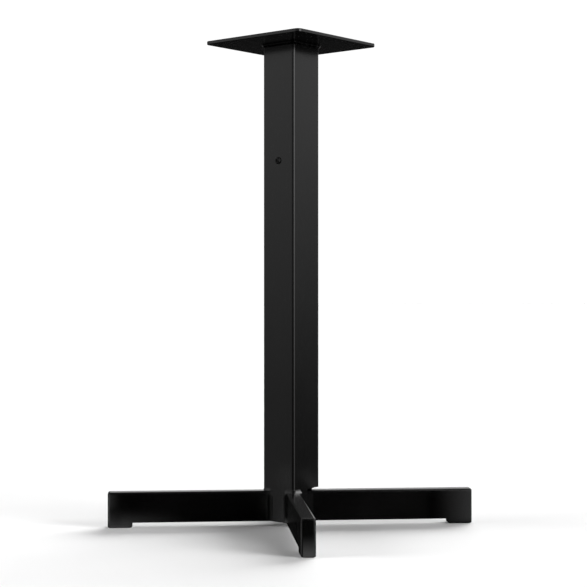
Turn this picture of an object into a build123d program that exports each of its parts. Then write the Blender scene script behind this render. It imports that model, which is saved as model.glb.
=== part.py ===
"""A pedestal stand: a square steel column welded over a cross of two halved bars, with a square top plate.

Millimetres, +Z up. The origin is on the floor under the column's axis. The legs of the cross lie along
X and Y, and the column and the top plate stand with their corners over the legs. -Y is the front.
"""

import os
from math import cos, radians, sin, sqrt, tan

from build123d import *

# Driving dimensions
STAND_HEIGHT = 720.0

COLUMN_SIDE = 60.0
COLUMN_WALL = 2.0
COLUMN_CORNER_R = 4.0

PLATE_SIDE = 182.0
PLATE_THICKNESS = 5.0
PLATE_CORNER_R = 8.0
PLATE_EDGE_R = 0.8
PLATE_HOLE_R = 3.25
PLATE_HOLE_SPACING = 150.0

BAR_LENGTH = 544.0
BAR_WIDTH = 20.0
BAR_TOP = 52.5
BAR_EDGE_R = 3.2
BAR_FOOT_EDGE_R = 1.2
BAR_CUT_EDGE = 0.5
FOOT_LENGTH = 36.0
FLOOR_GAP = 7.5
LAP_CLEARANCE = 0.1

PAD_THICKNESS = 0.8
PAD_INSET = 2.0
PAD_CORNER_R = 3.0

SLOT_CLEARANCE = 0.3
SLOT_HEADROOM = 4.0
WINDOW_REACH = 28.5
WINDOW_DROP = 3.5
WINDOW_CORNER_R = 2.5

WELD_SEAM = 5.0
WELD_SEAM_TOP = 50.5
WELD_BEAD_R = 2.6
WELD_PLATE_LEG = 3.5
WELD_PLATE_TOE = 0.3
WELD_CROSSING_LEG = 4.0
WELD_CROSSING_HEIGHT = 18.0

SCREW_Z = 542.0
SCREW_R = 3.0
SCREW_LENGTH = 16.0
SCREW_HEAD_R = 5.25
SCREW_HEAD_HEIGHT = 3.3
SCREW_HEAD_RIM = 0.8
SCREW_HEAD_FLAT_R = 2.7
SCREW_DOME_R = 5.6
SCREW_SOCKET_FLATS = 4.0
SCREW_SOCKET_DEPTH = 2.0

INSERT_BORE_R = 3.03
INSERT_BODY_R = 4.5
INSERT_FLANGE_R = 5.0
INSERT_FLANGE = 0.5
INSERT_BULGE_R = 5.8
INSERT_BULGE = 3.0
INSERT_LENGTH = 13.0

# Worked out from them
PLATE_UNDERSIDE = STAND_HEIGHT - PLATE_THICKNESS
BAR_BOTTOM = PAD_THICKNESS
LAP_Z = (FLOOR_GAP + BAR_TOP) / 2
COLUMN_HALF_DIAGONAL = COLUMN_SIDE / sqrt(2)
LEG_SPREAD = COLUMN_HALF_DIAGONAL / 2
WELD_ROOT = COLUMN_HALF_DIAGONAL - BAR_WIDTH / 2
WALL_ANGLE = 45.0
LEG_ANGLES = {"right": 0.0, "rear": 90.0, "left": 180.0, "front": 270.0}

os.makedirs("parts", exist_ok=True)


def save(shape, name):
    """Labels a finished piece and writes its STEP file."""
    shape.label = name
    export_step(shape, f"parts/{name}.step")


def leg_plane(angle, height=0.0):
    """A level plane whose X axis runs out along a leg."""
    direction = (cos(radians(angle)), sin(radians(angle)), 0)
    return Plane(origin=(0, 0, height), x_dir=direction, z_dir=(0, 0, 1))


# Top plate: square steel plate with rounded corners and four fixing holes
with BuildPart() as top_plate:
    with BuildSketch(Plane.XY.offset(PLATE_UNDERSIDE)):
        RectangleRounded(PLATE_SIDE, PLATE_SIDE, PLATE_CORNER_R, rotation=WALL_ANGLE)
    extrude(amount=PLATE_THICKNESS)
    rims = top_plate.faces().filter_by(Axis.Z).edges()
    fillet(rims, PLATE_EDGE_R)
    with BuildSketch(Plane.XY.offset(PLATE_UNDERSIDE)):
        with PolarLocations(PLATE_HOLE_SPACING / sqrt(2), 4):
            Circle(PLATE_HOLE_R)
    extrude(amount=PLATE_THICKNESS, mode=Mode.SUBTRACT)
save(top_plate.part, "top_plate")


# Cross bars: each is one solid bar, cut away underneath between its two feet
def cross_bar(along_x, notch_from_top):
    """A bar of the cross, with its half of the halving joint."""
    half = BAR_LENGTH / 2
    foot_in = half - FOOT_LENGTH
    outline = [
        (-half, BAR_BOTTOM),
        (-foot_in, BAR_BOTTOM),
        (-foot_in, FLOOR_GAP),
        (foot_in, FLOOR_GAP),
        (foot_in, BAR_BOTTOM),
        (half, BAR_BOTTOM),
        (half, BAR_TOP),
        (-half, BAR_TOP),
    ]
    side = Plane.XZ if along_x else Plane.YZ
    length_axis = Axis.X if along_x else Axis.Y
    with BuildPart() as bar:
        with BuildSketch(side):
            with BuildLine():
                Polyline(*outline, close=True)
            make_face()
        extrude(amount=BAR_WIDTH / 2, both=True)
        top = bar.faces().sort_by(Axis.Z)[-1]
        ends = bar.faces().filter_by(length_axis).sort_by(length_axis)
        upright = ends[0].edges().filter_by(Axis.Z) + ends[-1].edges().filter_by(Axis.Z)
        fillet(top.edges() + upright, BAR_EDGE_R)
        soles = bar.faces().filter_by(Axis.Z).group_by(Axis.Z)[0]
        fillet(soles.edges(), BAR_FOOT_EDGE_R)
        underside = bar.faces().filter_by(Axis.Z).group_by(Axis.Z)[1]
        chamfer(underside.edges().filter_by(length_axis), BAR_CUT_EDGE)
        if notch_from_top:
            low, high = LAP_Z - LAP_CLEARANCE, BAR_TOP
        else:
            low, high = FLOOR_GAP, LAP_Z + LAP_CLEARANCE
        with BuildSketch(Plane.XY.offset(low)):
            Rectangle(BAR_WIDTH + 2 * LAP_CLEARANCE, BAR_WIDTH + 2 * LAP_CLEARANCE)
        extrude(amount=high - low, mode=Mode.SUBTRACT)
    return bar.part


lower_bar = cross_bar(along_x=True, notch_from_top=True)
save(lower_bar, "cross_bar_left_to_right")
upper_bar = cross_bar(along_x=False, notch_from_top=False)
save(upper_bar, "cross_bar_front_to_rear")


# Thin pads under the four feet
for name, angle in LEG_ANGLES.items():
    with BuildPart() as foot_pad:
        with BuildSketch(leg_plane(angle)):
            with Locations((BAR_LENGTH / 2 - FOOT_LENGTH / 2, 0)):
                pad_length = FOOT_LENGTH - 2 * PAD_INSET
                RectangleRounded(pad_length, BAR_WIDTH - 2 * PAD_INSET, PAD_CORNER_R)
        extrude(amount=PAD_THICKNESS)
    save(foot_pad.part, f"foot_pad_{name}")


# Column: square tube, slotted over the legs at its four corners
window_plane = Plane(origin=(COLUMN_HALF_DIAGONAL, 0, BAR_TOP), x_dir=(-1, -1, 0), z_dir=(1, -1, 0))
screw_plane = Plane(origin=(-LEG_SPREAD, -LEG_SPREAD, SCREW_Z), x_dir=(1, -1, 0), z_dir=(-1, -1, 0))
with BuildPart() as column:
    with BuildSketch(Plane.XY.offset(FLOOR_GAP)):
        RectangleRounded(COLUMN_SIDE, COLUMN_SIDE, COLUMN_CORNER_R, rotation=WALL_ANGLE)
        inside = COLUMN_SIDE - 2 * COLUMN_WALL
        inside_r = COLUMN_CORNER_R - COLUMN_WALL
        RectangleRounded(inside, inside, inside_r, rotation=WALL_ANGLE, mode=Mode.SUBTRACT)
    extrude(amount=PLATE_UNDERSIDE - FLOOR_GAP)
    with BuildSketch(Plane.XY.offset(FLOOR_GAP)):
        slot_width = BAR_WIDTH + 2 * SLOT_CLEARANCE
        Rectangle(2 * COLUMN_SIDE, slot_width)
        Rectangle(slot_width, 2 * COLUMN_SIDE)
    extrude(amount=BAR_TOP + SLOT_HEADROOM - FLOOR_GAP, mode=Mode.SUBTRACT)
    # The right-hand slot runs on along the right-hand front wall
    with BuildSketch(window_plane):
        with Locations((WINDOW_REACH / 2, (SLOT_HEADROOM - WINDOW_DROP) / 2)):
            RectangleRounded(WINDOW_REACH, SLOT_HEADROOM + WINDOW_DROP, WINDOW_CORNER_R)
    extrude(amount=-2 * COLUMN_WALL, mode=Mode.SUBTRACT)
    # Hole for the threaded insert, in the middle of the left-hand front wall
    with BuildSketch(screw_plane):
        Circle(INSERT_BODY_R)
    extrude(amount=-2 * COLUMN_WALL, mode=Mode.SUBTRACT)
save(column.part, "column")


# Weld under the top plate: a fillet all round the column
with BuildPart() as top_plate_weld:
    with BuildSketch(Plane.XY.offset(PLATE_UNDERSIDE)):
        outer = COLUMN_SIDE + 2 * WELD_PLATE_LEG
        RectangleRounded(outer, outer, COLUMN_CORNER_R + WELD_PLATE_LEG, rotation=WALL_ANGLE)
    with BuildSketch(Plane.XY.offset(PLATE_UNDERSIDE - WELD_PLATE_LEG)):
        outer = COLUMN_SIDE + 2 * WELD_PLATE_TOE
        RectangleRounded(outer, outer, COLUMN_CORNER_R + WELD_PLATE_TOE, rotation=WALL_ANGLE)
    loft()
    with BuildSketch(Plane.XY.offset(PLATE_UNDERSIDE - WELD_PLATE_LEG)):
        RectangleRounded(COLUMN_SIDE, COLUMN_SIDE, COLUMN_CORNER_R, rotation=WALL_ANGLE)
    extrude(amount=WELD_PLATE_LEG, mode=Mode.SUBTRACT)
save(top_plate_weld.part, "top_plate_weld")


# Welds between the column's outside and a leg, in the leg's own plane: hollow seams up the leg's
# sides, which meet the walls at 135 degrees, and a bead in the slot over the leg
def side_seam(angle, side):
    """One hollow seam: straight along the leg and the wall, with an arc between their far ends."""
    root = (WELD_ROOT, side * BAR_WIDTH / 2)
    on_leg = (root[0] + WELD_SEAM, root[1])
    on_wall = (root[0] - WELD_SEAM / sqrt(2), root[1] + side * WELD_SEAM / sqrt(2))
    half_opening = radians(67.5)
    throat = WELD_SEAM * (1 / cos(half_opening) - tan(half_opening))
    middle = (root[0] + throat * cos(half_opening), root[1] + side * throat * sin(half_opening))
    bottom = FLOOR_GAP + BAR_CUT_EDGE
    with BuildPart() as seam:
        with BuildSketch(leg_plane(angle, bottom)):
            with BuildLine():
                Line(root, on_leg)
                ThreePointArc(on_leg, middle, on_wall)
                Line(on_wall, root)
            make_face()
        extrude(amount=WELD_SEAM_TOP - bottom)
    return seam.part


def slot_bead(angle):
    """The bead over a leg: round the column's corner, just long enough for its ends to fill the slot."""
    end_cover = sqrt(WELD_BEAD_R**2 - (SLOT_HEADROOM / 2) ** 2)
    reach = BAR_WIDTH / 2 + SLOT_CLEARANCE - end_cover
    start = COLUMN_HALF_DIAGONAL - reach
    with BuildPart() as bead:
        with BuildLine(leg_plane(angle, BAR_TOP + SLOT_HEADROOM / 2)) as path:
            corners = [(start, reach), (COLUMN_HALF_DIAGONAL, 0), (start, -reach)]
            FilletPolyline(*corners, radius=COLUMN_CORNER_R)
        with BuildSketch(Plane(origin=path.line @ 0, z_dir=path.line % 0)):
            Circle(WELD_BEAD_R)
        sweep()
        with Locations(path.line @ 0, path.line @ 1):
            Sphere(WELD_BEAD_R)
        add(column.part, mode=Mode.SUBTRACT)
        add(lower_bar, mode=Mode.SUBTRACT)
        add(upper_bar, mode=Mode.SUBTRACT)
    return bead.part


for name, angle in LEG_ANGLES.items():
    # The right leg's slot stays open, and the seam is on that leg's rear side only
    with BuildPart() as leg_weld:
        add(side_seam(angle, 1))
        if name != "right":
            add(side_seam(angle, -1))
            add(slot_bead(angle))
    save(leg_weld.part, f"leg_weld_{name}")


# Welds in the four inner corners of the cross, made from below
with BuildPart() as cross_weld:
    for quarter in range(4):
        inner = BAR_WIDTH / 2
        reach = inner + WELD_CROSSING_LEG
        with BuildSketch(leg_plane(90.0 * quarter, FLOOR_GAP + BAR_CUT_EDGE)):
            with BuildLine():
                Polyline((inner, inner), (reach, inner), (inner, reach), close=True)
            make_face()
        extrude(amount=WELD_CROSSING_HEIGHT)
save(cross_weld.part, "cross_weld")


# Threaded insert in the column wall: flange outside, formed bulge behind the wall
with BuildPart() as screw_insert:
    with BuildSketch(screw_plane):
        Circle(INSERT_FLANGE_R)
    extrude(amount=INSERT_FLANGE)
    with BuildSketch(screw_plane):
        Circle(INSERT_BODY_R)
    extrude(amount=-INSERT_LENGTH)
    with BuildSketch(screw_plane.offset(-COLUMN_WALL)):
        Circle(INSERT_BULGE_R)
    extrude(amount=-INSERT_BULGE)
    with BuildSketch(screw_plane.offset(INSERT_FLANGE)):
        Circle(INSERT_BORE_R)
    extrude(amount=-INSERT_LENGTH - INSERT_FLANGE, mode=Mode.SUBTRACT)
save(screw_insert.part, "screw_insert")


# Button-head screw with a hexagon socket, seated on the insert's flange
seat = screw_plane.offset(INSERT_FLANGE)
head_profile = Plane(origin=seat.origin, x_dir=seat.x_dir, z_dir=-seat.y_dir)
with BuildPart() as side_screw:
    with BuildSketch(head_profile):
        with BuildLine():
            Polyline((0, SCREW_HEAD_HEIGHT), (0, 0), (SCREW_HEAD_R, 0), (SCREW_HEAD_R, SCREW_HEAD_RIM))
            dome_start = (SCREW_HEAD_R, SCREW_HEAD_RIM)
            dome_end = (SCREW_HEAD_FLAT_R, SCREW_HEAD_HEIGHT)
            RadiusArc(dome_start, dome_end, -SCREW_DOME_R)
            Line(dome_end, (0, SCREW_HEAD_HEIGHT))
        make_face()
    revolve(axis=Axis(seat.origin, seat.z_dir))
    with BuildSketch(seat):
        Circle(SCREW_R)
    extrude(amount=-SCREW_LENGTH)
    with BuildSketch(seat.offset(SCREW_HEAD_HEIGHT)):
        RegularPolygon(SCREW_SOCKET_FLATS / 2, 6, major_radius=False)
    extrude(amount=-SCREW_SOCKET_DEPTH, mode=Mode.SUBTRACT)
save(side_screw.part, "side_screw")
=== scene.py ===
"""Looks for the pedestal stand: powder-coated steel, rippled welds, a pale floor and soft studio light.

Metres, in the CAD frame: +Z up, the origin on the floor under the column, -Y the front. Azimuths and
elevations are in degrees, and azimuths run from +X towards +Y.
"""

from math import cos, pi, radians, sin, sqrt, tan

import bmesh
import bpy
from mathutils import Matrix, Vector


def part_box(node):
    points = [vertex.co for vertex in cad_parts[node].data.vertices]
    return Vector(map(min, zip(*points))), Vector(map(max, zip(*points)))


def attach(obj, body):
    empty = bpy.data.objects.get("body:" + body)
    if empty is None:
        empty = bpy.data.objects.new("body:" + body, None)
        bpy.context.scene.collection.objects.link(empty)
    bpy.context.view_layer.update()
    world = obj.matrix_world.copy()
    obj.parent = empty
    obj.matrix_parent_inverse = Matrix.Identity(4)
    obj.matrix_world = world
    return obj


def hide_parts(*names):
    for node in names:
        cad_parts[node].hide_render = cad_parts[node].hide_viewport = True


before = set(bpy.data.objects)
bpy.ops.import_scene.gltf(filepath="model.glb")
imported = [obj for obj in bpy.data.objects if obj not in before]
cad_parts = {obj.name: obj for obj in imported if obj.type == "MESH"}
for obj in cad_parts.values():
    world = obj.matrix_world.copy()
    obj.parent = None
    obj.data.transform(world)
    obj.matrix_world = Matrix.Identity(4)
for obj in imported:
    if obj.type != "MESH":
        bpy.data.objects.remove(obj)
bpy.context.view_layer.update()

MM = 0.001
BODY = "root"

# Sizes worked out from the CAD pieces, and the column's section, which repeats the part's source
bar_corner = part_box("cross_bar_left_to_right")[1]
LEG_TIP = bar_corner.x
BAR_HALF_WIDTH = bar_corner.y
BAR_TOP = bar_corner.z
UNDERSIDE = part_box("top_plate")[0].z
COLUMN_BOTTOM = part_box("column")[0].z
COLUMN_SIDE = 60 * MM
COLUMN_CORNER_R = 4 * MM
HALF_DIAGONAL = COLUMN_SIDE / sqrt(2)
LEG_ANGLES = {"right": 0.0, "rear": 90.0, "left": 180.0, "front": 270.0}

# The part of a noise's range that a gloss or a tint is spread over
GLOSS_RANGE = (0.3, 0.7)
TINT_RANGE = (0.35, 0.65)

# All welds. A ripple's crest is nearer its start while the lean is below 1. A weld's size wanders in two
# waves: radians in a metre, share, phase
RIPPLE_LEAN = 0.8
WANDER_WAVES = [(210, 1.0, 0.0), (517, 0.6, 1.3)]
WELD_ROOT = HALF_DIAGONAL - BAR_HALF_WIDTH
WELD_BOTTOM = COLUMN_BOTTOM + 0.5 * MM

# The hollow seams up the sides of the legs. A leg and the wall beside it stand at 135 degrees
HALF_OPENING = radians(67.5)
SEAM_REACH = 5 * MM
SEAM_TOP = BAR_TOP - 2.0 * MM
SEAM_STEP = 0.45 * MM
SEAM_ARC_POINTS = 9
SEAM_RUN_OUT = 5 * MM
SEAM_TIP_SHARE = 0.35
SEAM_PITCH = 2.4 * MM
SEAM_RIPPLE = 0.05 * MM
SEAM_WANDER = 0.05 * MM

# The beads over the legs. A toe is how far the bead's lower edge comes out over its leg. An end narrows to
# the square root of BEAD_BLUNT_END of the radius, so that its ring keeps some size. A cosine closer to
# zero than ROUND_OFF counts as zero
BEAD_R = 2.35 * MM
BEAD_REACH = BAR_HALF_WIDTH + 1.3 * MM
BEAD_HEIGHT = BAR_TOP + 2.0 * MM
BEAD_SIDES = 24
BEAD_STEP = 0.3 * MM
BEAD_HOLLOW = 1.6
ROUND_OFF = 0.001
BEAD_TOE = {"front": 3.8 * MM, "left": 1.0 * MM, "rear": 3.4 * MM}
BEAD_BLUNT_END = 0.02
BEAD_PITCH = 2.6 * MM
BEAD_RIPPLE = 0.28 * MM
BEAD_WANDER = 0.1 * MM

# The fillet under the top plate. Its throat is how far its face's middle is from its root, as a share of
# its leg
PLATE_WELD_LEG = 3.4 * MM
PLATE_WELD_THROAT = 0.82
PLATE_WELD_POINTS = 7
PLATE_WELD_STEP = 0.7 * MM
PLATE_WELD_PITCH = 3.1 * MM
PLATE_WELD_RIPPLE = 0.25 * MM
PLATE_WELD_WANDER = 0.12 * MM

# The fillets in the inner corners of the cross
CROSS_WELD_LEG = 4 * MM
CROSS_WELD_MIDDLE = 0.45
CROSS_WELD_HEIGHT = 18 * MM
CROSS_WELD_STEPS = 40
CROSS_WELD_PITCH = 2.6 * MM
CROSS_WELD_RIPPLE = 0.25 * MM

# The camera. Its turn is round the stand from straight in front, and a minus turns it to the left
CAMERA_TURN = -4.823
CAMERA_DISTANCE = 2.19695
CAMERA_HEIGHT = 0.35427
CAMERA_PITCH = -0.227
CAMERA_YAW_RIGHT = 0.09
CAMERA_LENS = 90.2
CAMERA_SENSOR = 36.0

# The floor, and the brightness of the white behind it and of the light from all round
FLOOR_HALF_SIZE = 30
FLOOR_SEGMENTS = 8
BACKDROP = 1.05
AMBIENT = 0.06

# Broad lights: name, azimuth, elevation, how wide the light is, strength
BROAD_LIGHTS = [
    ("key_rear_right", 60, 15, 60, 7.3),
    ("fill_front_right", -30, 15, 30, 3.5),
    ("fill_left", 180, 15, 30, 2.6),
]

# Cards that the legs' tips mirror: name, middle, width, height, strength, and the axes along which the
# card fades from bright to dark
CARD_Y = -60 * MM
CARD_Z = 25 * MM
CARD_HALF = 0.5
REFLECTORS = [
    ("reflector_left", (-LEG_TIP - 14 * MM, CARD_Y, CARD_Z), 62 * MM, 60 * MM, 2.3, ["X"]),
    ("reflector_left_low", (-LEG_TIP + 52 * MM, CARD_Y, -7 * MM), 160 * MM, 58 * MM, 2.3, ["X", "Y"]),
    ("reflector_right", (LEG_TIP - 8 * MM, CARD_Y, CARD_Z), 90 * MM, 60 * MM, 0.8, ["-X"]),
    ("reflector_front", (1 * MM, -LEG_TIP - 12 * MM, 9 * MM), 26 * MM, 44 * MM, 1.6, ["Y"]),
]

# Panels that the coat mirrors, as (azimuth, brightness) stops round the horizon in three rings. The low
# ring is dark below DARK_BELOW and full above FULL_ABOVE. The high ring takes over from PANEL_FROM to
# PANEL_TO, and the top ring from TOP_FROM to TOP_TO. All six are elevations
BRIGHTEST = 4.0
DARK_BELOW = -30
FULL_ABOVE = -20
PANEL_FROM = -5
PANEL_TO = 10
TOP_FROM = 18
TOP_TO = 32
PANELS_LOW = [
    (-180, 0.26), (-150, 0.18), (-128, 0.04), (-105, 0.0), (-74, 0.0), (-60, 0.9), (-42, 1.1), (-26, 0.3),
    (-14, 0.08), (18, 0.08), (32, 0.4), (60, 0.4), (76, 0.01), (89, 0.01), (93, 0.001), (106, 0.001),
    (120, 0.4), (150, 0.4), (165, 0.2), (179, 0.26),
]
PANELS_HIGH = [
    (-180, 0.8), (-150, 0.55), (-128, 0.35), (-110, 0.05), (-106, 0.8), (-102, 0.8), (-98, 0.0), (-79, 0.0),
    (-75, 3.2), (-45, 4.0), (-30, 2.0), (-16, 0.8), (20, 0.78), (40, 0.5), (70, 0.9), (93, 0.9), (96, 0.1),
    (102, 0.05), (140, 0.12), (160, 0.5), (179, 0.78),
]
PANELS_TOP = [
    (-180, 0.3), (-120, 0.1), (-60, 0.1), (0, 0.5), (25, 3.4), (58, 3.4), (72, 0.4), (110, 0.4), (135, 0.7),
    (179, 0.3),
]

# Sockets of the Mix node where it mixes colours. Its inputs share their names between data types
MIX_A = 6
MIX_B = 7
MIX_RESULT = 2


# ---------------------------------------------------------------- materials
def new_material(name):
    """A new material, with its nodes, its links and its Principled shader."""
    material = bpy.data.materials.new(name)
    material.use_nodes = True
    nodes = material.node_tree.nodes
    return material, nodes, material.node_tree.links, nodes["Principled BSDF"]


def map_range(nodes, links, value, from_min, from_max, to_min=0.0, to_max=1.0):
    """Maps a value from one range onto another, and holds it at the ends."""
    mapped = nodes.new("ShaderNodeMapRange")
    mapped.inputs["From Min"].default_value = from_min
    mapped.inputs["From Max"].default_value = from_max
    mapped.inputs["To Min"].default_value = to_min
    mapped.inputs["To Max"].default_value = to_max
    links.new(value, mapped.inputs["Value"])
    return mapped.outputs["Result"]


def noise(nodes, links, scale, detail):
    """A noise in object space, so it stays with the piece."""
    place = nodes.new("ShaderNodeTexCoord")
    texture = nodes.new("ShaderNodeTexNoise")
    texture.inputs["Scale"].default_value = scale
    texture.inputs["Detail"].default_value = detail
    links.new(place.outputs["Object"], texture.inputs["Vector"])
    return texture.outputs["Fac"]


def spread(nodes, links, source, low, high):
    """Maps the middle of a noise onto a range."""
    return map_range(nodes, links, source, *GLOSS_RANGE, low, high)


def tint(nodes, links, source, dark, light):
    """Turns a noise into a slow drift between two colours."""
    ramp = nodes.new("ShaderNodeValToRGB")
    for element, position, colour in zip(ramp.color_ramp.elements, TINT_RANGE, (dark, light)):
        element.position = position
        element.color = (*colour, 1)
    links.new(source, ramp.inputs["Fac"])
    return ramp.outputs["Color"]


def bump(nodes, links, source, distance, strength, below=None):
    """A bump from a noise, on top of another bump if there is one."""
    node = nodes.new("ShaderNodeBump")
    node.inputs["Distance"].default_value = distance
    node.inputs["Strength"].default_value = strength
    links.new(source, node.inputs["Height"])
    if below:
        links.new(below, node.inputs["Normal"])
    return node.outputs["Normal"]


def coated_metal(name, greys, roughness, peel, peel_size):
    """Powder coat: orange peel, a finer grain, and slow changes of gloss and tint."""
    material, nodes, links, shader = new_material(name)
    slow = noise(nodes, links, scale=14, detail=3)
    fine = noise(nodes, links, scale=1 / peel_size, detail=2)
    grain = noise(nodes, links, scale=4 / peel_size, detail=2)
    dark, light = ((grey,) * 3 for grey in greys)
    links.new(tint(nodes, links, slow, dark, light), shader.inputs["Base Color"])
    links.new(spread(nodes, links, slow, *roughness), shader.inputs["Roughness"])
    peel_bump = bump(nodes, links, fine, distance=peel, strength=0.5)
    grain_bump = bump(nodes, links, grain, distance=peel / 5, strength=0.4, below=peel_bump)
    links.new(grain_bump, shader.inputs["Normal"])
    return material


def moulded_rubber(name):
    """The pads: matte, with a fine tooth."""
    material, nodes, links, shader = new_material(name)
    tooth = noise(nodes, links, scale=2500, detail=3)
    patch = noise(nodes, links, scale=60, detail=2)
    colour = tint(nodes, links, patch, dark=(0.012,) * 3, light=(0.022,) * 3)
    links.new(colour, shader.inputs["Base Color"])
    links.new(spread(nodes, links, patch, low=0.75, high=0.9), shader.inputs["Roughness"])
    tooth_bump = bump(nodes, links, tooth, distance=0.05 * MM, strength=0.5)
    links.new(tooth_bump, shader.inputs["Normal"])
    return material


def plated_steel(name):
    """The insert: bright zinc with a mottled gloss."""
    material, nodes, links, shader = new_material(name)
    shader.inputs["Metallic"].default_value = 1.0
    mottle = noise(nodes, links, scale=700, detail=4)
    colour = tint(nodes, links, mottle, dark=(0.42, 0.42, 0.43), light=(0.6, 0.6, 0.62))
    links.new(colour, shader.inputs["Base Color"])
    links.new(spread(nodes, links, mottle, low=0.25, high=0.4), shader.inputs["Roughness"])
    mottle_bump = bump(nodes, links, mottle, distance=0.01 * MM, strength=0.4)
    links.new(mottle_bump, shader.inputs["Normal"])
    return material


coat = coated_metal(
    "powder_coat", greys=(0.0005, 0.0009), roughness=(0.17, 0.2), peel=0.009 * MM, peel_size=1.1 * MM
)
weld_coat = coated_metal(
    "weld_coat", greys=(0.0005, 0.0009), roughness=(0.18, 0.22), peel=0.012 * MM, peel_size=0.8 * MM
)
screw_black = coated_metal(
    "screw_black", greys=(0.003, 0.005), roughness=(0.5, 0.6), peel=0.004 * MM, peel_size=0.3 * MM
)
pad_rubber = moulded_rubber("pad_rubber")
insert_zinc = plated_steel("insert_zinc")

NODE_MATERIALS = {
    "top_plate": coat,
    "column": coat,
    "cross_bar_left_to_right": coat,
    "cross_bar_front_to_rear": coat,
    "foot_pad_front": pad_rubber,
    "foot_pad_left": pad_rubber,
    "foot_pad_rear": pad_rubber,
    "foot_pad_right": pad_rubber,
    "side_screw": screw_black,
    "screw_insert": insert_zinc,
}
for node, material in NODE_MATERIALS.items():
    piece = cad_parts[node]
    piece.data.materials.clear()
    piece.data.materials.append(material)


# ---------------------------------------------------------------- welds
def ripple(distance, pitch, height):
    """The crest line of a weld: one smooth scale after another, each steeper on one side."""
    phase = (distance / pitch) % 1.0
    return height * sin(pi * phase**RIPPLE_LEAN)


def unevenness(distance, size):
    """A slow wander in the bead's size, the same on every run."""
    return size * sum(share * sin(distance * wave + phase) for wave, share, phase in WANDER_WAVES)


def skin(rings, loop=False):
    """A closed mesh through rings of points, with flat ends unless it runs round in a loop."""
    mesh = bmesh.new()
    rows = [[mesh.verts.new(point) for point in ring] for ring in rings]
    pairs = list(zip(rows, rows[1:]))
    if loop:
        pairs.append((rows[-1], rows[0]))
    for row, following in pairs:
        for i in range(len(row)):
            j = (i + 1) % len(row)
            mesh.faces.new((row[i], row[j], following[j], following[i]))
    if not loop:
        mesh.faces.new(list(reversed(rows[0])))
        mesh.faces.new(rows[-1])
    bmesh.ops.recalc_face_normals(mesh, faces=mesh.faces)
    return mesh


def finish_weld(name, node, meshes):
    """Joins weld meshes into one smooth piece that stands for its CAD node."""
    data = bpy.data.meshes.new(name)
    joined = bmesh.new()
    for mesh in meshes:
        part = bpy.data.meshes.new("part")
        mesh.to_mesh(part)
        joined.from_mesh(part)
        bpy.data.meshes.remove(part)
        mesh.free()
    joined.to_mesh(data)
    joined.free()
    data.shade_smooth()
    piece = bpy.data.objects.new(name, data)
    bpy.context.scene.collection.objects.link(piece)
    data.materials.append(weld_coat)
    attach(piece, BODY)
    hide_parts(node)


def leg_point(angle, along, across, height):
    """A point given along and across a leg."""
    a = radians(angle)
    return Vector((along * cos(a) - across * sin(a), along * sin(a) + across * cos(a), height))


def seam_section(reach, crown):
    """The seam's outline beside a leg: its root, then the hollow arc from the leg to the wall."""
    arc_r = reach * tan(HALF_OPENING)
    centre = reach / cos(HALF_OPENING)
    points = [(0.0, 0.0)]
    for i in range(SEAM_ARC_POINTS):
        t = -1 + 2 * i / (SEAM_ARC_POINTS - 1)
        a = HALF_OPENING + pi + t * (pi / 2 - HALF_OPENING)
        radius = arc_r - crown * (1 - t * t)
        points.append((
            centre * cos(HALF_OPENING) + radius * cos(a),
            centre * sin(HALF_OPENING) + radius * sin(a),
        ))
    return points


def side_seam(angle, side):
    """A hollow, lightly rippled seam up one side of a leg, thinning out at its top."""
    rings = []
    steps = round((SEAM_TOP - WELD_BOTTOM) / SEAM_STEP)
    for i in range(steps + 1):
        height = WELD_BOTTOM + (SEAM_TOP - WELD_BOTTOM) * i / steps
        run_out = min(1.0, (SEAM_TOP - height) / SEAM_RUN_OUT)
        share = SEAM_TIP_SHARE + (1 - SEAM_TIP_SHARE) * sqrt(run_out)
        reach = SEAM_REACH * share + unevenness(height, SEAM_WANDER)
        crown = ripple(height, SEAM_PITCH, SEAM_RIPPLE)
        rings.append([
            leg_point(angle, WELD_ROOT + along, side * (BAR_HALF_WIDTH + across), height)
            for along, across in seam_section(reach, crown)
        ])
    return skin(rings)


def corner_path(half_width, radius, step):
    """Points and outward directions round the column's corner, in a leg's plane."""
    arc_start = radius / sqrt(2)
    wall_steps = round((half_width - arc_start) * sqrt(2) / step)
    wall = []
    for i in range(wall_steps + 1):
        across = half_width + i / wall_steps * (arc_start - half_width)
        wall.append((HALF_DIAGONAL - across, across, radians(45)))
    other_wall = [(along, -across, -facing) for along, across, facing in reversed(wall)]
    centre = HALF_DIAGONAL - radius * sqrt(2)
    arc_steps = round(radius * pi / 2 / step)
    corner = []
    for i in range(1, arc_steps):
        a = radians(45) - radians(90) * i / arc_steps
        corner.append((centre + radius * cos(a), radius * sin(a), a))
    return wall + corner + other_wall


def bead_point(turn, radius, toe):
    """How far a point of the bead's outline is out from the wall, and up. The face is hollow."""
    up = radius * sin(turn)
    if cos(turn) < -ROUND_OFF:
        return radius * cos(turn), up
    down_the_face = (1 - sin(turn)) / 2
    return toe * down_the_face**BEAD_HOLLOW, up


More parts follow.
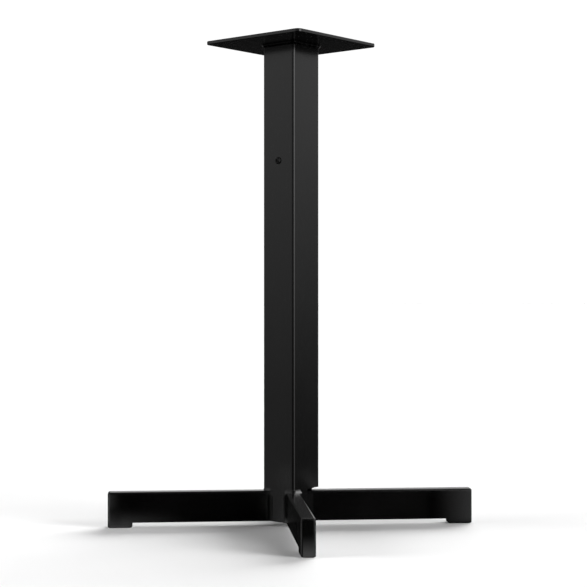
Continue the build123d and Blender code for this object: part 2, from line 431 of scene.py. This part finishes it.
def slot_bead(angle, toe):
    """The bead over a leg: overlapping scales, with rounded ends that fill the slot."""
    path = corner_path(BEAD_REACH, COLUMN_CORNER_R, BEAD_STEP)
    steps = [(Vector(b[:2]) - Vector(a[:2])).length for a, b in zip(path, path[1:])]
    length = sum(steps)
    distance = 0.0
    rings = []
    for (along, across, facing), step in zip(path, [0.0] + steps):
        distance += step
        from_end = min(1.0, min(distance, length - distance) / BEAD_R)
        end = sqrt(max(BEAD_BLUNT_END, from_end * (2 - from_end)))
        scale = ripple(distance, BEAD_PITCH, BEAD_RIPPLE)
        radius = BEAD_R * end + scale * end + unevenness(distance, BEAD_WANDER)
        ring = []
        for i in range(BEAD_SIDES):
            a = 2 * pi * i / BEAD_SIDES
            out, up = bead_point(a, radius, toe * radius / BEAD_R)
            ring.append(leg_point(
                angle,
                along + out * cos(facing),
                across + out * sin(facing),
                BEAD_HEIGHT + up,
            ))
        rings.append(ring)
    return skin(rings)


def column_outline(step):
    """Points round the column. Each comes with the way it faces in its quarter, and the quarter's turn."""
    half = COLUMN_SIDE / 2
    straight = COLUMN_SIDE - 2 * COLUMN_CORNER_R
    straight_steps = round(straight / step)
    corner_steps = round(COLUMN_CORNER_R * pi / 2 / step)
    centre = Vector((half - COLUMN_CORNER_R, straight / 2))
    outline = []
    for quarter in range(4):
        turn = radians(45 + 90 * quarter)
        for i in range(straight_steps):
            across = -straight / 2 + straight * i / straight_steps
            outline.append((Vector((half, across)), 0.0, turn))
        for i in range(corner_steps):
            a = radians(90) * i / corner_steps
            outline.append((centre + COLUMN_CORNER_R * Vector((cos(a), sin(a))), a, turn))
    return outline


def plate_weld():
    """The fillet under the top plate, all round the column."""
    rings = []
    distance = 0.0
    for point, facing, turn in column_outline(PLATE_WELD_STEP):
        distance += PLATE_WELD_STEP
        scale = ripple(distance, PLATE_WELD_PITCH, PLATE_WELD_RIPPLE)
        leg = PLATE_WELD_LEG + scale + unevenness(distance, PLATE_WELD_WANDER)
        heading = facing + turn
        place = Vector((
            point.x * cos(turn) - point.y * sin(turn),
            point.x * sin(turn) + point.y * cos(turn),
            UNDERSIDE,
        ))
        ring = [place]
        for i in range(PLATE_WELD_POINTS):
            a = pi / 2 * i / (PLATE_WELD_POINTS - 1)
            share = PLATE_WELD_THROAT + (1 - PLATE_WELD_THROAT) * abs(cos(2 * a))
            out = leg * cos(a) * share
            down = leg * sin(a) * share
            ring.append(place + Vector((out * cos(heading), out * sin(heading), -down)))
        rings.append(ring)
    return skin(rings, loop=True)


def crossing_weld(angle):
    """One fillet in an inner corner of the cross."""
    rings = []
    for i in range(CROSS_WELD_STEPS + 1):
        height = WELD_BOTTOM + CROSS_WELD_HEIGHT * i / CROSS_WELD_STEPS
        leg = CROSS_WELD_LEG + ripple(height, CROSS_WELD_PITCH, CROSS_WELD_RIPPLE)
        middle = leg * CROSS_WELD_MIDDLE
        rings.append([
            leg_point(angle, BAR_HALF_WIDTH + along, BAR_HALF_WIDTH + across, height)
            for along, across in ((0.0, 0.0), (leg, 0.0), (middle, middle), (0.0, leg))
        ])
    return skin(rings)


# The right leg's slot is open, so it has no bead, and its only seam is on its rear side
for name, angle in LEG_ANGLES.items():
    meshes = [side_seam(angle, 1)]
    if name in BEAD_TOE:
        meshes += [side_seam(angle, -1), slot_bead(angle, BEAD_TOE[name])]
    finish_weld(f"leg_weld_{name}_beads", f"leg_weld_{name}", meshes)
finish_weld("top_plate_weld_bead", "top_plate_weld", [plate_weld()])
finish_weld("cross_weld_beads", "cross_weld", [crossing_weld(90.0 * q) for q in range(4)])


# ---------------------------------------------------------------- floor, light and camera
def flat_sheet(name, segments, half_size):
    """A level square sheet."""
    mesh = bmesh.new()
    bmesh.ops.create_grid(mesh, x_segments=segments, y_segments=segments, size=half_size)
    data = bpy.data.meshes.new(name)
    mesh.to_mesh(data)
    mesh.free()
    sheet = bpy.data.objects.new(name, data)
    bpy.context.scene.collection.objects.link(sheet)
    return sheet


def pale_floor():
    """A wide plain floor. It takes shadow, and stays out of glossy reflections."""
    floor = flat_sheet("floor", FLOOR_SEGMENTS, FLOOR_HALF_SIZE)
    material, nodes, links, shader = new_material("pale_floor")
    mottle = noise(nodes, links, scale=3, detail=2)
    colour = tint(nodes, links, mottle, dark=(0.86,) * 3, light=(0.88,) * 3)
    links.new(colour, shader.inputs["Base Color"])
    shader.inputs["Roughness"].default_value = 0.9
    shader.inputs["Specular IOR Level"].default_value = 0.0
    floor.data.materials.append(material)
    floor.visible_glossy = False


def azimuth_ramp(nodes, links, turn, stops):
    """Brightness round the horizon, from (azimuth, brightness) stops, as a share of the brightest."""
    ramp = nodes.new("ShaderNodeValToRGB")
    elements = ramp.color_ramp.elements
    elements.remove(elements[-1])
    for k, (azimuth, value) in enumerate(stops):
        position = (azimuth + 180) / 360
        element = elements[0] if k == 0 else elements.new(position)
        element.position = position
        element.color = (*(value / BRIGHTEST,) * 3, 1)
    links.new(turn, ramp.inputs["Fac"])
    return ramp.outputs["Color"]


def blend(nodes, links, height, low, high, below, above):
    """Goes from one colour to another between two elevations, and from black where none is given."""
    mix = nodes.new("ShaderNodeMix")
    mix.data_type = "RGBA"
    mix.inputs[MIX_A].default_value = (0, 0, 0, 1)
    factor = map_range(nodes, links, height, sin(radians(low)), sin(radians(high)))
    links.new(factor, mix.inputs["Factor"])
    if below:
        links.new(below, mix.inputs[MIX_A])
    links.new(above, mix.inputs[MIX_B])
    return mix.outputs[MIX_RESULT]


def white_background(nodes, strength):
    """An even white surround."""
    background = nodes.new("ShaderNodeBackground")
    background.inputs["Color"].default_value = (1, 1, 1, 1)
    background.inputs["Strength"].default_value = strength
    return background.outputs["Background"]


def choose(nodes, links, ray, otherwise, chosen):
    """One background for rays of a kind, and another for the rest."""
    mix = nodes.new("ShaderNodeMixShader")
    links.new(ray, mix.inputs["Fac"])
    links.new(otherwise, mix.inputs[1])
    links.new(chosen, mix.inputs[2])
    return mix.outputs["Shader"]


def studio_world():
    """White surroundings for the camera, softer ones for diffuse light, and panels for reflections."""
    world = bpy.data.worlds.new("studio")
    bpy.context.scene.world = world
    world.cycles.sampling_method = "NONE"
    world.use_nodes = True
    nodes, links = world.node_tree.nodes, world.node_tree.links
    nodes.clear()
    direction = nodes.new("ShaderNodeTexCoord")
    split = nodes.new("ShaderNodeSeparateXYZ")
    links.new(direction.outputs["Generated"], split.inputs["Vector"])
    height = split.outputs["Z"]
    turn = nodes.new("ShaderNodeMath")
    turn.operation = "ARCTAN2"
    links.new(split.outputs["Y"], turn.inputs[0])
    links.new(split.outputs["X"], turn.inputs[1])
    share = map_range(nodes, links, turn.outputs["Value"], -pi, pi)
    low = azimuth_ramp(nodes, links, share, PANELS_LOW)
    high = azimuth_ramp(nodes, links, share, PANELS_HIGH)
    top = azimuth_ramp(nodes, links, share, PANELS_TOP)
    panels = blend(nodes, links, height, DARK_BELOW, FULL_ABOVE, None, low)
    panels = blend(nodes, links, height, PANEL_FROM, PANEL_TO, panels, high)
    panels = blend(nodes, links, height, TOP_FROM, TOP_TO, panels, top)
    reflected = nodes.new("ShaderNodeBackground")
    reflected.inputs["Strength"].default_value = BRIGHTEST
    links.new(panels, reflected.inputs["Color"])
    ambient = white_background(nodes, AMBIENT)
    backdrop = white_background(nodes, BACKDROP)
    path = nodes.new("ShaderNodeLightPath")
    lit = choose(nodes, links, path.outputs["Is Glossy Ray"], ambient, reflected.outputs["Background"])
    seen = choose(nodes, links, path.outputs["Is Camera Ray"], lit, backdrop)
    output = nodes.new("ShaderNodeOutputWorld")
    links.new(seen, output.inputs["Surface"])


def broad_light(name, azimuth, elevation, width, strength):
    """A wide soft light from one side. It lays a soft shadow and stays out of glossy reflections."""
    light = bpy.data.lights.new(name, "SUN")
    light.energy = strength
    light.angle = radians(width)
    lamp = bpy.data.objects.new(name, light)
    bpy.context.scene.collection.objects.link(lamp)
    a, e = radians(azimuth), radians(elevation)
    towards = Vector((cos(a) * cos(e), sin(a) * cos(e), sin(e)))
    lamp.rotation_euler = towards.to_track_quat("Z", "Y").to_euler()
    lamp.visible_glossy = False


def card_glow(name, strength, fades):
    """A glow that falls from full at one edge of a card to nothing at the other, along each fading axis."""
    material = bpy.data.materials.new(name)
    material.use_nodes = True
    nodes, links = material.node_tree.nodes, material.node_tree.links
    nodes.clear()
    place = nodes.new("ShaderNodeTexCoord")
    split = nodes.new("ShaderNodeSeparateXYZ")
    links.new(place.outputs["Object"], split.inputs["Vector"])
    level = nodes.new("ShaderNodeValue").outputs["Value"]
    level.default_value = strength
    for fade in fades:
        falloff = nodes.new("ShaderNodeMapRange")
        falloff.interpolation_type = "SMOOTHSTEP"
        bright_end = CARD_HALF if fade.startswith("-") else -CARD_HALF
        falloff.inputs["From Min"].default_value = -bright_end
        falloff.inputs["From Max"].default_value = bright_end
        links.new(split.outputs[fade[-1]], falloff.inputs["Value"])
        links.new(level, falloff.inputs["To Max"])
        level = falloff.outputs["Result"]
    glow = nodes.new("ShaderNodeEmission")
    links.new(level, glow.inputs["Strength"])
    output = nodes.new("ShaderNodeOutputMaterial")
    links.new(glow.outputs["Emission"], output.inputs["Surface"])
    return material


def reflector(name, middle, width, height, strength, fades):
    """A small upright lit card near a leg's tip, which only glossy surfaces see."""
    card = flat_sheet(name, 1, CARD_HALF)
    card.data.materials.append(card_glow(name, strength, fades))
    card.location = middle
    card.rotation_euler = (radians(90), 0, 0)
    card.scale = (width, height, 1)
    card.visible_camera = False
    card.visible_diffuse = False
    card.visible_shadow = False


def photo_camera():
    """The camera: nearly straight in front, a little under the middle of the stand, with a long lens."""
    camera = bpy.data.cameras.new("camera")
    camera.sensor_width = CAMERA_SENSOR
    camera.lens = CAMERA_LENS
    holder = bpy.data.objects.new("camera", camera)
    bpy.context.scene.collection.objects.link(holder)
    turn = radians(CAMERA_TURN)
    holder.location = (CAMERA_DISTANCE * sin(turn), -CAMERA_DISTANCE * cos(turn), CAMERA_HEIGHT)
    heading = turn - radians(CAMERA_YAW_RIGHT)
    holder.rotation_euler = (radians(90 + CAMERA_PITCH), 0, heading)
    bpy.context.scene.camera = holder


pale_floor()
studio_world()
photo_camera()
for light in BROAD_LIGHTS:
    broad_light(*light)
for card in REFLECTORS:
    reflector(*card)

view = bpy.context.scene.view_settings
view.view_transform = "Standard"
view.look = "None"
